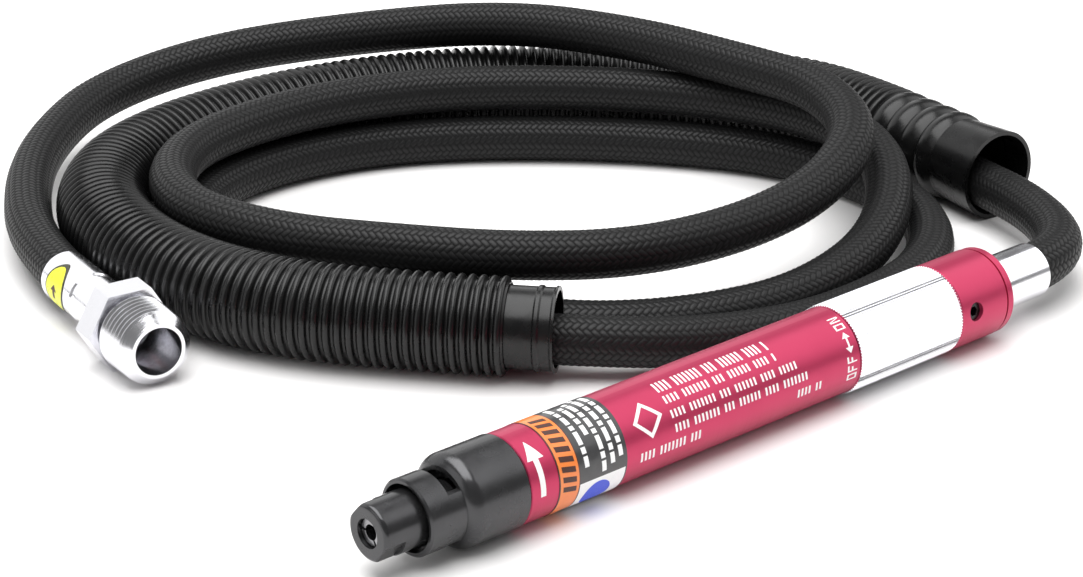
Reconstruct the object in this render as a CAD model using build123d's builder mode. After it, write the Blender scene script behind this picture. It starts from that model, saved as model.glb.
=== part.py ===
"""Pencil-type air die grinder with its air hose and exhaust hose.

The tool lies on its side along X, nose towards -X, with its lowest line on z = 0.
Millimetres.  Most pieces are turned about the tool's axis, so their places are given
as a distance behind the collet nut's front face.
"""
from build123d import *
import math
import os

os.makedirs("parts", exist_ok=True)

# ---- driving dimensions ------------------------------------------------------
TOOL_LENGTH = 188.3  # nut face to the end of the hose ferrule
RING_RADIUS = 9.85  # throttle ring and rear cap, the widest pieces
AXIS_HEIGHT = RING_RADIUS
HOUSING_RADIUS = 9.5
SLEEVE_RADIUS = 9.7  # rear half of the nose cap
GUARD_RADIUS = 7.85  # front half of the nose cap
NUT_RADIUS = 5.8
FERRULE_RADIUS = 6.25
COLLET_BORE = 3.175  # 1/8 inch burr shank
FIT = 0.02  # radial gap of pieces pushed together by hand
RUNNING = 0.05  # radial gap of pieces that turn in each other

# Where each section ends, measured from the nut's face.
GUARD_FRONT = 9.3
WINDOW_FRONT = 14.8
SHOULDER_FRONT = 18.0
SHOULDER_REAR = 20.9
HOUSING_FRONT = 32.6
LABEL_FRONT = 39.5
LABEL_REAR = 57.2
RING_FRONT = 123.7
CAP_FRONT = 155.1
GROOVE_FRONT = 169.3
LIP_FRONT = 169.9
CAP_REAR = 172.0

# Collet and spindle nose.
COLLET_FRONT = 0.9
COLLET_WIDE_RADIUS = 3.35
COLLET_TAIL_RADIUS = 2.5
COLLET_TAPER_FRONT = 3.2
COLLET_TAPER_REAR = 8.5
NUT_THREAD_RADIUS = 4.0
SPINDLE_FRONT = 4.1
WRENCH_FLATS_ANGLE = 220  # direction one of the nut's two flats looks in

# Motor stack inside the housing.
MOTOR_BORE_RADIUS = 7.52
STACK_RADIUS = 7.48
SPIGOT_FRONT = 24.4
SPIGOT_RADIUS = 8.55
FRONT_BEARING = 24.0
FRONT_PLATE = 29.2
LINER_FRONT = 33.45
LINER_REAR = 66.35
REAR_PLATE = 66.4
REAR_BEARING = 70.4
STACK_REAR = 76.5
ROTOR_RADIUS = 5.6
LINER_BORE_RADIUS = 6.2
ECCENTRICITY = 0.55
BLADE_COUNT = 4
FRONT_SHAFT_RADIUS = 3.0
REAR_SHAFT_RADIUS = 2.5
DOWEL_PLACE_RADIUS = 6.8
DOWEL_RADIUS = 0.5
DOWEL_FRONT = 31.0
DOWEL_REAR = 69.0
FRONT_RACE = dict(pitch_radius=5.25, ball_radius=1.2)
REAR_RACE = dict(pitch_radius=4.5, ball_radius=1.0)
FRONT_BEARING_WIDTH = 5.0
REAR_BEARING_WIDTH = 4.0
FRONT_BALL_COUNT = 9
REAR_BALL_COUNT = 8

# Throttle valve under the ring.
VALVE_FRONT = 84.2
VALVE_REAR = 163.0
VALVE_RADIUS = 8.2
RING_BORE_RADIUS = VALVE_RADIUS + RUNNING
THROTTLE_TRAVEL = 45  # degrees between OFF and ON
PORT_FRONT = 128.0
PORT_REAR = 138.0
DETENT_PLACE = 146.0
STOP_PLACE = 149.2
O_RING_RADIUS = 0.55
O_RING_PLACES = (125.0, 133.0, 152.4)
O_RING_GROOVE_RADIUS = 7.1
O_RING_CIRCLE_RADIUS = O_RING_GROOVE_RADIUS + O_RING_RADIUS + FIT
KNURL_COUNT = 90
KNURL_SQUARE = 0.5  # side of the square that cuts each groove with one corner

# Rear end.
SET_SCREW_PLACE = 159.4
SET_SCREW_ANGLE = 171
STEM_THREAD_RADIUS = 3.8
STEM_WAIST_RADIUS = 4.2
STEM_STEP = CAP_REAR + 0.4  # the stem steps down behind its waist
MUFFLER_REAR = 168.8

# Hoses.
AIR_HOSE_RADIUS = 5.6
AIR_HOSE_BORE_RADIUS = 3.15
OVERHOSE_RADIUS = 10.9
OVERHOSE_BORE_RADIUS = 9.3
HOSE_START = 181.0  # the air hose ends this far back, inside its ferrule
TOOL_CUFF_RADIUS = 10.9
OUTLET_CUFF_RADIUS = 9.35

# Inlet fitting on the far end of the air hose, 3/8 inch NPT male.
FITTING_START = (-67.6, 141.4, 8.73)
FITTING_HEADING = (-0.16, -0.987, 0.0)
FITTING_HEX = 17.46  # 11/16 inch across flats, and it lies on one flat
INLET_FERRULE_LENGTH = 26.0
INLET_FERRULE_RADIUS = 5.95
FITTING_LENGTH = 47.5
THREAD_PITCH = 25.4 / 18
THREAD_TAPER = 1 / 32  # radius gained per length
INLET_STEM_RADIUS = 3.1
INLET_BORE_RADIUS = 5.4
THREAD_MOUTH_RADIUS = 8.15
THREAD_NOSE_RADIUS = 6.4


# ---- helpers -----------------------------------------------------------------
def place(distance):
    """X of a place so far behind the nut's face."""
    return distance - TOOL_LENGTH / 2


def section_plane(distance):
    """Cross-section of the tool: local x is +Y, local y is +Z, and it looks along +X."""
    origin = (place(distance), 0, AXIS_HEIGHT)
    return Plane(origin=origin, x_dir=(0, 1, 0), z_dir=(1, 0, 0))


def tool_axis():
    return Axis((0, 0, AXIS_HEIGHT), (1, 0, 0))


def radial_plane(distance, angle, radius):
    """Plane at a radius from the tool's axis, looking outwards; angle 90 is straight up."""
    across = math.cos(math.radians(angle))
    up = math.sin(math.radians(angle))
    origin = (place(distance), radius * across, AXIS_HEIGHT + radius * up)
    return Plane(origin=origin, x_dir=(1, 0, 0), z_dir=(0, across, up))


def turned_face(points):
    """Face with (distance, radius) corners in the plane of the tool's axis."""
    with BuildSketch(Plane.XZ) as profile:
        with BuildLine():
            corners = [(place(distance), AXIS_HEIGHT + radius) for distance, radius in points]
            Polyline(*corners, close=True)
        make_face()
    return profile.sketch


def turned(points):
    """Solid turned about the tool's axis."""
    with BuildPart() as piece:
        revolve(turned_face(points), axis=tool_axis())
    return piece


def sleeve(front, rear, bore_radius, radius):
    """Plain ring between two places."""
    with BuildPart() as piece:
        with BuildSketch(section_plane(front)):
            Circle(radius)
            Circle(bore_radius, mode=Mode.SUBTRACT)
        extrude(amount=rear - front)
    return piece


def drill(distance, angle, from_radius, to_radius, radius):
    """Round hole pointing outwards, inside a BuildPart."""
    with BuildSketch(radial_plane(distance, angle, from_radius)) as mouth:
        Circle(radius)
    extrude(mouth.sketch, amount=to_radius - from_radius, mode=Mode.SUBTRACT)


def save(piece, name):
    piece.part.label = name
    export_step(piece.part, f"parts/{name}.step")


# ---- collet end --------------------------------------------------------------
def collet_taper_radius(distance):
    """Radius of the collet's long taper."""
    share = (distance - COLLET_TAPER_FRONT) / (COLLET_TAPER_REAR - COLLET_TAPER_FRONT)
    return COLLET_WIDE_RADIUS + share * (COLLET_TAIL_RADIUS - COLLET_WIDE_RADIUS)


def make_collet_nut():
    """Collet nut: rounded front edge and two wrench flats."""
    rear = 11.8
    mouth_radius = 3.0
    rounding = 0.95
    thread_front = 3.8
    flat_distance = 5.0
    flat_length = 4.6
    with BuildPart() as nut:
        outline = [
            (0, mouth_radius),
            (0, NUT_RADIUS),
            (rear, NUT_RADIUS),
            (rear, NUT_THREAD_RADIUS + RUNNING),
            (thread_front, NUT_THREAD_RADIUS + RUNNING),
            (thread_front, COLLET_WIDE_RADIUS + RUNNING),
            (COLLET_FRONT + 1.0, COLLET_WIDE_RADIUS + RUNNING),
            (COLLET_FRONT + 0.35, mouth_radius),
        ]
        revolve(turned_face(outline), axis=tool_axis())
        rims = nut.edges().filter_by(GeomType.CIRCLE)
        outer_rims = rims.filter_by(lambda rim: abs(rim.radius - NUT_RADIUS) < FIT)
        fillet(outer_rims.sort_by(Axis.X)[0], rounding)
        for side in (WRENCH_FLATS_ANGLE, WRENCH_FLATS_ANGLE + 180):
            with BuildSketch(radial_plane(flat_length / 2, side, flat_distance)):
                Rectangle(flat_length, 2 * NUT_RADIUS)
            extrude(amount=NUT_RADIUS, mode=Mode.SUBTRACT)
    return nut


def make_collet():
    rear = 14.0
    slot_width = 0.5
    slot_end = 11.5
    with BuildPart() as collet:
        outline = [
            (COLLET_FRONT, COLLET_BORE / 2),
            (COLLET_FRONT, 2.75),
            (COLLET_FRONT + 1.0, COLLET_WIDE_RADIUS),
            (COLLET_TAPER_FRONT, COLLET_WIDE_RADIUS),
            (COLLET_TAPER_REAR, COLLET_TAIL_RADIUS),
            (rear, COLLET_TAIL_RADIUS),
            (rear, COLLET_BORE / 2),
        ]
        revolve(turned_face(outline), axis=tool_axis())
        with BuildSketch(section_plane(COLLET_FRONT)):
            with PolarLocations(COLLET_BORE, 3):
                Rectangle(COLLET_BORE * 1.6, slot_width)
        extrude(amount=slot_end - COLLET_FRONT, mode=Mode.SUBTRACT)
    return collet


def make_collet_body():
    """Spindle nose that carries the nut's thread and screws onto the rotor's shaft."""
    tail_rear = 14.4
    socket_front = 15.4
    flat_distance = 4.0
    taper_gap = 0.04
    with BuildPart() as body:
        outline = [
            (SPINDLE_FRONT, collet_taper_radius(SPINDLE_FRONT) + taper_gap),
            (SPINDLE_FRONT, NUT_THREAD_RADIUS),
            (12.2, NUT_THREAD_RADIUS),
            (13.2, 4.7),
            (19.0, 4.7),
            (19.5, 4.2),
            (FRONT_BEARING - 0.1, 4.2),
            (FRONT_BEARING - 0.1, 2.75),
            (socket_front, 2.75),
            (socket_front, 0.9),
            (tail_rear, 0.9),
            (tail_rear, COLLET_TAIL_RADIUS + RUNNING),
            (COLLET_TAPER_REAR, COLLET_TAIL_RADIUS + RUNNING),
        ]
        revolve(turned_face(outline), axis=tool_axis())
        for side in (90, 270):  # flats seen through the nose cap's windows
            with BuildSketch(radial_plane(16.6, side, flat_distance)):
                Rectangle(4.4, 10)
            extrude(amount=2, mode=Mode.SUBTRACT)
    return body


# ---- motor -------------------------------------------------------------------
def make_rotor():
    """Vane rotor with both shafts; the front one screws into the collet body."""
    front_face = LINER_FRONT + 0.15
    rear_face = LINER_REAR - 0.15
    groove_front = 74.6
    with BuildPart() as rotor:
        outline = [
            (15.6, 0),
            (15.6, 2.72),
            (FRONT_BEARING, 2.72),
            (FRONT_BEARING, FRONT_SHAFT_RADIUS),
            (front_face, FRONT_SHAFT_RADIUS),
            (front_face, ROTOR_RADIUS),
            (rear_face, ROTOR_RADIUS),
            (rear_face, REAR_SHAFT_RADIUS),
            (groove_front, REAR_SHAFT_RADIUS),
            (groove_front, 2.15),
            (groove_front + 0.6, 2.15),
            (groove_front + 0.6, REAR_SHAFT_RADIUS),
            (75.8, REAR_SHAFT_RADIUS),
            (75.8, 0),
        ]
        revolve(turned_face(outline), axis=tool_axis())
        slot_bottom = 2.6
        slot_top = ROTOR_RADIUS + 1
        with BuildSketch(section_plane(front_face)):
            with PolarLocations((slot_bottom + slot_top) / 2, BLADE_COUNT):
                Rectangle(slot_top - slot_bottom, 1.25)
        extrude(amount=rear_face - front_face, mode=Mode.SUBTRACT)
    return rotor


def make_rotor_blades():
    """Blades at the bottom of their slots, where they lie without air."""
    with BuildPart() as blades:
        with BuildSketch(section_plane(LINER_FRONT + 0.25)):
            with PolarLocations(4.15, BLADE_COUNT):
                Rectangle(2.8, 1.1)
        extrude(amount=LINER_REAR - LINER_FRONT - 0.5)
    return blades


def make_race(front, width, bore_radius, radius, pitch_radius, ball_radius, inner):
    """One bearing ring with its ball groove."""
    groove_radius = ball_radius + RUNNING
    with BuildPart() as race:
        with BuildSketch(section_plane(front)):
            Circle(radius)
            Circle(bore_radius, mode=Mode.SUBTRACT)
        extrude(amount=width)
        middle = (place(front + width / 2), 0, AXIS_HEIGHT)
        with Locations(Location(middle, (0, 90, 0))):
            Torus(pitch_radius, groove_radius, mode=Mode.SUBTRACT)
        edge = 0.2 if inner else 0.25
        rims = race.edges().filter_by(GeomType.CIRCLE)
        outside = rims.filter_by(lambda rim: abs(rim.radius - (bore_radius if inner else radius)) < FIT)
        chamfer(outside, edge)
    return race


def make_balls(middle, pitch_radius, ball_radius, count):
    with BuildPart() as balls:
        with Locations(section_plane(middle)):
            with PolarLocations(pitch_radius, count):
                Sphere(ball_radius)
    return balls


def make_cage(middle, pitch_radius, ball_radius, count, thickness):
    """Crown cage: a ring in front of the balls, with an open pocket round each."""
    front = middle - ball_radius - 0.6
    rear = middle + 0.5 * ball_radius
    with BuildPart() as cage:
        with BuildSketch(section_plane(front)):
            Circle(pitch_radius + thickness / 2)
            Circle(pitch_radius - thickness / 2, mode=Mode.SUBTRACT)
        extrude(amount=rear - front)
        with Locations(section_plane(middle)):
            with PolarLocations(pitch_radius, count):
                Sphere(ball_radius + RUNNING, mode=Mode.SUBTRACT)
    return cage


def make_front_plate():
    with BuildPart() as plate:
        with BuildSketch(section_plane(FRONT_PLATE)):
            Circle(STACK_RADIUS)
            Circle(FRONT_SHAFT_RADIUS + 0.15, mode=Mode.SUBTRACT)
        extrude(amount=LINER_FRONT - FRONT_PLATE - 0.05)
        dowel_hole(FRONT_PLATE)
    return plate


def dowel_hole(front):
    """Hole for the dowel that keeps the plates and liner from turning, inside a BuildPart."""
    start = max(front, DOWEL_FRONT) - 0.1
    with BuildSketch(section_plane(start)) as hole:
        with Locations((0, DOWEL_PLACE_RADIUS)):
            Circle(DOWEL_RADIUS + FIT)
    extrude(hole.sketch, amount=DOWEL_REAR + 0.1 - start, mode=Mode.SUBTRACT)


def make_liner():
    """Cylinder liner: its bore is off centre, so the blades sweep a crescent."""
    length = LINER_REAR - LINER_FRONT
    with BuildPart() as liner:
        with BuildSketch(section_plane(LINER_FRONT)):
            Circle(STACK_RADIUS)
            with Locations((0, -ECCENTRICITY)):
                Circle(LINER_BORE_RADIUS, mode=Mode.SUBTRACT)
        extrude(amount=length)
        for hole in range(4):  # exhaust holes
            drill(LINER_FRONT + length * (hole + 1) / 5, 0, 5, STACK_RADIUS + 1, 1.0)
        dowel_hole(LINER_FRONT)
    return liner


def make_dowel():
    with BuildPart() as dowel:
        with BuildSketch(section_plane(DOWEL_FRONT)):
            with Locations((0, DOWEL_PLACE_RADIUS)):
                Circle(DOWEL_RADIUS)
        extrude(amount=DOWEL_REAR - DOWEL_FRONT)
    return dowel


def make_rear_plate():
    """Rear end plate, with the cup that holds the rear bearing."""
    cup_rear = 74.6
    with BuildPart() as plate:
        outline = [
            (REAR_PLATE, REAR_SHAFT_RADIUS + 0.15),
            (REAR_PLATE, STACK_RADIUS),
            (cup_rear, STACK_RADIUS),
            (cup_rear, 6.52),
            (REAR_BEARING - 0.1, 6.52),
            (REAR_BEARING - 0.1, REAR_SHAFT_RADIUS + 0.15),
        ]
        revolve(turned_face(outline), axis=tool_axis())
        dowel_hole(REAR_PLATE)
        for angle in (150, 210):  # air inlets to the crescent
            with BuildSketch(section_plane(REAR_PLATE)):
                with PolarLocations(5.0, 1, start_angle=angle):
                    Circle(0.9)
            extrude(amount=4, mode=Mode.SUBTRACT)
    return plate


def make_rotor_clip():
    """Open clip in the rear shaft's groove."""
    with BuildPart() as clip:
        with BuildSketch(section_plane(74.7)):
            Circle(3.4)
            Circle(2.2, mode=Mode.SUBTRACT)
            with Locations((0, -3)):
                Rectangle(2.6, 4, mode=Mode.SUBTRACT)
        extrude(amount=0.4)
    return clip


def make_spring_washer():
    """Cone washer that keeps the motor stack pressed forwards."""
    return turned([(74.75, 7.3), (75.15, 7.4), (76.4, 5.6), (76.0, 5.5)])


# ---- housing and nose cap ----------------------------------------------------
def make_nose_cap():
    """Black cap: a guard round the nut, wrench windows, and a sleeve screwed on the housing."""
    rear = HOUSING_FRONT - 0.1
    guard_bore = 6.9
    edge = 0.4
    bulkhead_front = 19.6
    bulkhead_rear = 22.3
    bulkhead_bore = 5.0
    felt_bore = 7.6

    def corner(distance, radius):
        return (place(distance), AXIS_HEIGHT + radius)

    with BuildPart() as cap:
        with BuildSketch(Plane.XZ):
            with BuildLine():
                Polyline(
                    corner(GUARD_FRONT, guard_bore),
                    corner(GUARD_FRONT, GUARD_RADIUS - edge),
                    corner(GUARD_FRONT + edge, GUARD_RADIUS),
                    corner(SHOULDER_FRONT, GUARD_RADIUS),
                )
                TangentArc(
                    corner(SHOULDER_REAR, SLEEVE_RADIUS),
                    corner(SHOULDER_FRONT, GUARD_RADIUS),
                    tangent=(-1, 0),
                )
                Polyline(
                    corner(SHOULDER_REAR, SLEEVE_RADIUS),
                    corner(rear - edge, SLEEVE_RADIUS),
                    corner(rear, SLEEVE_RADIUS - edge),
                    corner(rear, SPIGOT_RADIUS + RUNNING),
                    corner(SPIGOT_FRONT - 0.1, SPIGOT_RADIUS + RUNNING),
                    corner(SPIGOT_FRONT - 0.1, felt_bore),
                    corner(bulkhead_rear, felt_bore),
                    corner(bulkhead_rear, bulkhead_bore),
                    corner(bulkhead_front, bulkhead_bore),
                    corner(bulkhead_front, guard_bore),
                    corner(GUARD_FRONT, guard_bore),
                )
            make_face()
        revolve(axis=tool_axis())
        window_middle = (WINDOW_FRONT + SHOULDER_FRONT) / 2
        window_floor = 5.2
        for side in (90, 270):
            with BuildSketch(radial_plane(window_middle, side, window_floor)):
                Rectangle(SHOULDER_FRONT - WINDOW_FRONT, 2 * GUARD_RADIUS)
            extrude(amount=GUARD_RADIUS, mode=Mode.SUBTRACT)
    return cap


def make_housing():
    """Red motor housing: front spigot, motor bore, and rear bore for the valve body."""
    rear = RING_FRONT - 0.1
    with BuildPart() as housing:
        outline = [
            (SPIGOT_FRONT, MOTOR_BORE_RADIUS),
            (SPIGOT_FRONT, SPIGOT_RADIUS),
            (HOUSING_FRONT, SPIGOT_RADIUS),
            (HOUSING_FRONT, HOUSING_RADIUS - 0.2),
            (HOUSING_FRONT + 0.2, HOUSING_RADIUS),
            (rear - 0.2, HOUSING_RADIUS),
            (rear, HOUSING_RADIUS - 0.2),
            (rear, MOTOR_BORE_RADIUS),
            (VALVE_FRONT - 0.1, MOTOR_BORE_RADIUS),
            (VALVE_FRONT - 0.1, 5.5),
            (STACK_REAR, 5.5),
            (STACK_REAR, MOTOR_BORE_RADIUS),
        ]
        revolve(turned_face(outline), axis=tool_axis())
        with BuildSketch(section_plane(LINER_FRONT)):  # exhaust channel beside the liner
            with Locations((MOTOR_BORE_RADIUS, 0)):
                Rectangle(1.8, 3.4)
        extrude(amount=VALVE_FRONT - LINER_FRONT, mode=Mode.SUBTRACT)
    return housing


def make_label():
    """Printed sleeve label round the front of the housing."""
    return sleeve(LABEL_FRONT, LABEL_REAR, HOUSING_RADIUS + 0.01, HOUSING_RADIUS + 0.09)


# ---- throttle ----------------------------------------------------------------
def make_valve_body():
    """Steel body: air comes in at the rear, out of the rear ports, round the wall and back in."""
    stem_thread_front = 150.0
    spigot_radius = 7.0
    with BuildPart() as body:
        outline = [
            (VALVE_FRONT, 3.0),
            (VALVE_FRONT, STACK_RADIUS),
            (RING_FRONT + 0.1, STACK_RADIUS),
            (RING_FRONT + 0.1, VALVE_RADIUS),
            (CAP_FRONT - 0.2, VALVE_RADIUS),
            (CAP_FRONT - 0.2, spigot_radius),
            (VALVE_REAR, spigot_radius),
            (VALVE_REAR, STEM_THREAD_RADIUS + FIT),
            (stem_thread_front, STEM_THREAD_RADIUS + FIT),
            (stem_thread_front, 3.0),
            (PORT_REAR - 1.5, 3.0),
            (PORT_REAR - 1.5, 0),
            (PORT_FRONT + 1.5, 0),
            (PORT_FRONT + 1.5, 3.0),
        ]
        revolve(turned_face(outline), axis=tool_axis())
        for middle in O_RING_PLACES:
            with BuildSketch(section_plane(middle - O_RING_RADIUS - 0.1)):
                Circle(VALVE_RADIUS + 1)
                Circle(O_RING_GROOVE_RADIUS, mode=Mode.SUBTRACT)
            extrude(amount=2 * O_RING_RADIUS + 0.2, mode=Mode.SUBTRACT)
        for port in (PORT_FRONT, PORT_REAR):
            for angle in range(0, 360, 90):
                drill(port, angle, 2.0, VALVE_RADIUS + 1, 1.25)
        with BuildSketch(section_plane(VALVE_FRONT)):  # exhaust passages to the rear cap
            with PolarLocations(5.6, 4, start_angle=45):
                Circle(0.9)
        extrude(amount=VALVE_REAR - VALVE_FRONT, mode=Mode.SUBTRACT)
        drill(DETENT_PLACE, 90, 5.0, VALVE_RADIUS + 1, 1.05)
        drill(STOP_PLACE, 270, 5.5, VALVE_RADIUS + 1, 0.82)
    return body


def make_o_rings():
    with BuildPart() as rings:
        for middle in O_RING_PLACES:
            with Locations(Location((place(middle), 0, AXIS_HEIGHT), (0, 90, 0))):
                Torus(O_RING_CIRCLE_RADIUS, O_RING_RADIUS)
    return rings


def make_throttle_ring():
    """Knurled ring; its four inner pockets join the ports when it is turned to ON."""
    rear = CAP_FRONT - 0.1
    pocket_radius = 9.0
    detent_radius = 8.62
    slot_radius = 9.1
    slot_play = 6.6
    with BuildPart() as ring:
        with BuildSketch(section_plane(RING_FRONT)):
            Circle(RING_RADIUS)
            with PolarLocations(RING_RADIUS + 0.04, KNURL_COUNT):
                Rectangle(KNURL_SQUARE, KNURL_SQUARE, rotation=45, mode=Mode.SUBTRACT)
            Circle(RING_BORE_RADIUS, mode=Mode.SUBTRACT)
        extrude(amount=rear - RING_FRONT)
        with BuildSketch(section_plane(PORT_FRONT - 1.2)):
            with PolarLocations(RING_BORE_RADIUS, 4, start_angle=45):
                Rectangle(2 * (pocket_radius - RING_BORE_RADIUS), 2.6)
        extrude(amount=PORT_REAR - PORT_FRONT + 2.4, mode=Mode.SUBTRACT)
        with BuildSketch(section_plane(DETENT_PLACE - 1.1)):
            Circle(detent_radius)
            Circle(RING_BORE_RADIUS - 0.1, mode=Mode.SUBTRACT)
        extrude(amount=2.2, mode=Mode.SUBTRACT)
        start = math.radians(270 - THROTTLE_TRAVEL - slot_play)
        slot_plane = Plane(
            origin=(place(STOP_PLACE), 0, AXIS_HEIGHT),
            x_dir=(0, math.cos(start), math.sin(start)),
            z_dir=(0, math.sin(start), -math.cos(start)),
        )
        with BuildSketch(slot_plane):
            with Locations(((RING_BORE_RADIUS + slot_radius) / 2 - 0.1, 0)):
                Rectangle(slot_radius - RING_BORE_RADIUS + 0.2, 2.0)
        sweep_angle = THROTTLE_TRAVEL + 2 * slot_play
        revolve(axis=tool_axis(), revolution_arc=sweep_angle, mode=Mode.SUBTRACT)
    return ring


def make_detent_ball():
    with BuildPart() as ball:
        with Locations(radial_plane(DETENT_PLACE, 90, 7.5)):
            Sphere(1.0)
    return ball


def make_detent_spring():
    """Coil spring under the detent ball."""
    wire_radius = 0.14
    coil_radius = 0.75
    with BuildPart() as spring:
        with BuildLine(radial_plane(DETENT_PLACE, 90, 5.2)) as coil:
            Helix(pitch=0.42, height=1.1, radius=coil_radius)
        with BuildSketch(Plane(origin=coil.line @ 0, z_dir=coil.line % 0)):
            Circle(wire_radius)
        sweep(path=coil.line, is_frenet=True)
    return spring


def make_stop_pin():
    with BuildPart() as pin:
        with BuildSketch(radial_plane(STOP_PLACE, 270, 5.6)):
            Circle(0.8)
        extrude(amount=8.9 - 5.6)
    return pin


# ---- rear end ----------------------------------------------------------------
def make_rear_cap():
    """Red rear cap: set screw, exhaust chamber and holes, groove and lip for the exhaust hose."""
    wall_front = 169.0
    with BuildPart() as cap:
        outline = [
            (CAP_FRONT, 7.05),
            (CAP_FRONT, RING_RADIUS - 0.2),
            (CAP_FRONT + 0.2, RING_RADIUS),
            (GROOVE_FRONT, RING_RADIUS),
            (GROOVE_FRONT, 9.35),
            (LIP_FRONT, 9.35),
            (LIP_FRONT, 9.75),
            (CAP_REAR - 0.5, 9.75),
            (CAP_REAR, 9.25),
            (CAP_REAR, STEM_WAIST_RADIUS + 0.3),
            (wall_front, STEM_WAIST_RADIUS + 0.3),
            (wall_front, 8.6),
            (VALVE_REAR + 0.2, 8.6),
            (VALVE_REAR + 0.2, 7.05),
        ]
        revolve(turned_face(outline), axis=tool_axis())
        drill(SET_SCREW_PLACE, SET_SCREW_ANGLE, 6.5, RING_RADIUS + 1, 2.1)
        with BuildSketch(section_plane(wall_front - 0.5)):
            with PolarLocations(7.4, 8, start_angle=22.5):
                Circle(0.9)
        extrude(amount=4, mode=Mode.SUBTRACT)
    return cap


def make_set_screw():
    """Hex-socket grub screw, sunk in the cap."""
    inner = 7.05
    outer = 8.9
    with BuildPart() as screw:
        with BuildSketch(radial_plane(SET_SCREW_PLACE, SET_SCREW_ANGLE, inner)):
            Circle(2.05)
        extrude(amount=outer - inner)
        with BuildSketch(radial_plane(SET_SCREW_PLACE, SET_SCREW_ANGLE, outer)):
            RegularPolygon(1.0, 6, major_radius=False)
        extrude(amount=-1.2, mode=Mode.SUBTRACT)
    return screw


def make_muffler_ring():
    return sleeve(VALVE_REAR + 0.4, MUFFLER_REAR, STEM_WAIST_RADIUS + 0.6, 8.5)


def make_hose_stem():
    """Threaded stem with a barbed tail that the air hose is pushed over."""
    bore_radius = 2.0
    barb_front = STEM_STEP - 0.1
    barb_rear = 187.2
    barb_count = 3
    barb_low = 2.85
    barb_high = AIR_HOSE_BORE_RADIUS - FIT
    thread_front = 150.3
    points = [
        (thread_front, bore_radius),
        (thread_front, STEM_THREAD_RADIUS),
        (VALVE_REAR + 0.1, STEM_THREAD_RADIUS),
        (VALVE_REAR + 0.1, STEM_WAIST_RADIUS),
        (barb_front, STEM_WAIST_RADIUS),
        (barb_front, barb_low),
    ]
    first_barb = HOSE_START + 0.4
    step = (barb_rear - first_barb) / barb_count
    points.append((first_barb, barb_low))
    for barb in range(barb_count):
        start = first_barb + barb * step
        points += [(start, barb_high), (start + step, barb_low)]
    points.append((barb_rear, bore_radius))
    return turned(points)


def make_hose_ferrule():
    """Bright crimped ferrule, with a solid collar in front of the hose's end."""
    front = CAP_REAR + 0.1
    collar_rear = HOSE_START - 0.1
    return turned(
        [
            (front, STEM_WAIST_RADIUS + 0.05),
            (front, FERRULE_RADIUS - 0.3),
            (front + 0.3, FERRULE_RADIUS),
            (TOOL_LENGTH - 0.3, FERRULE_RADIUS),
            (TOOL_LENGTH, FERRULE_RADIUS - 0.3),
            (TOOL_LENGTH, AIR_HOSE_RADIUS + 0.02),
            (collar_rear, AIR_HOSE_RADIUS + 0.02),
            (collar_rear, 2.9),
            (STEM_STEP, 2.9),
            (STEM_STEP, STEM_WAIST_RADIUS + 0.05),
        ]
    )


# ---- hoses -------------------------------------------------------------------
# Route of the exhaust hose's ribbed tube, between its two cuffs, on the surface.
OVERHOSE_HEIGHT = OVERHOSE_RADIUS
OVERHOSE_ROUTE = [
    (134, 77),
    (135.5, 94),
    (132.5, 112),
    (122, 130.5),
    (103, 150.5),
    (76, 171),
    (41, 186.5),
    (3, 189.5),
    (-25, 182.5),
    (-42.5, 166),
    (-51.3, 142),
    (-52.5, 116),
    (-45, 91.5),
    (-30.5, 70.5),
    (-14.5, 51.7),
]
INNER_HOSE_HEIGHT = 8.6  # the air hose lies low inside the exhaust hose

# Route of the air hose: out of the ferrule, through the exhaust hose, and round in coils.
TOOL_END_ROUTE = [
    (place(HOSE_START), 0, AXIS_HEIGHT),
    (100.4, 0, AXIS_HEIGHT),
    (111.5, 5.4, 10),
    (118.8, 15.8, 10),
    (125.2, 29.5, 9.2),
    (128.8, 45, INNER_HOSE_HEIGHT),
    (132.8, 67, INNER_HOSE_HEIGHT),
]
LOWER_COIL_ROUTE = [
    (-2, 37, 8.6),
    (16, 26, 6.8),
    (39, 18.5, 5.6),
    (62, 17.5, 5.6),
    (84, 22, 5.6),
    (101, 34.5, 5.6),
    (112, 52.5, 5.6),
    (115, 77, 5.6),
    (109.5, 100, 5.6),
    (91, 127, 5.6),
    (64, 153, 5.6),
    (38, 168.5, 5.6),
    (10, 173, 5.6),
    (-13, 167, 5.6),
    (-26.5, 152, 5.6),
    (-30, 130, 5.6),
    (-25, 103, 5.6),
    (-10.5, 75.5, 5.6),
]
UPPER_COIL_ROUTE = [
    (3, 51, 5.6),
    (26, 35.5, 5.6),
    (53, 28.5, 6.3),
    (82, 33.5, 10),
    (104, 50.5, 15.3),
    (115.5, 74, 17.5),
    (111.5, 101, 17.5),
    (94, 130, 17.5),
    (64, 158, 17.6),
    (36, 171, 17.6),
    (10, 174, 17.5),
    (-14, 169.5, 17.5),
    (-31, 154, 17.5),
    (-37, 133, 17.5),
    (-29.5, 109, 17.5),
    (-15, 88.5, 17.5),
    (1, 69, 17.3),
    (22, 52.5, 17.3),
    (49.5, 45.5, 18),
    (75.5, 46.5, 20.5),
    (97.5, 55.5, 26),
    (107.5, 78, 28.6),
    (104.5, 101.5, 28.6),
    (99, 134, 28.7),
    (83, 166, 28.8),
    (58, 199, 22.5),
    (30, 221, 17.5),
    (-1, 226, 13),
    (-26, 212, 10.8),
    (-46, 191.5, 9.4),
    (-64.7, 159.2, 8.73),
    (-69.5, 129.6, 8.73),
]


def air_hose_route():
    inside = [(x, y, INNER_HOSE_HEIGHT) for x, y in OVERHOSE_ROUTE[1:-1]]
    return TOOL_END_ROUTE + inside + LOWER_COIL_ROUTE + UPPER_COIL_ROUTE


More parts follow.
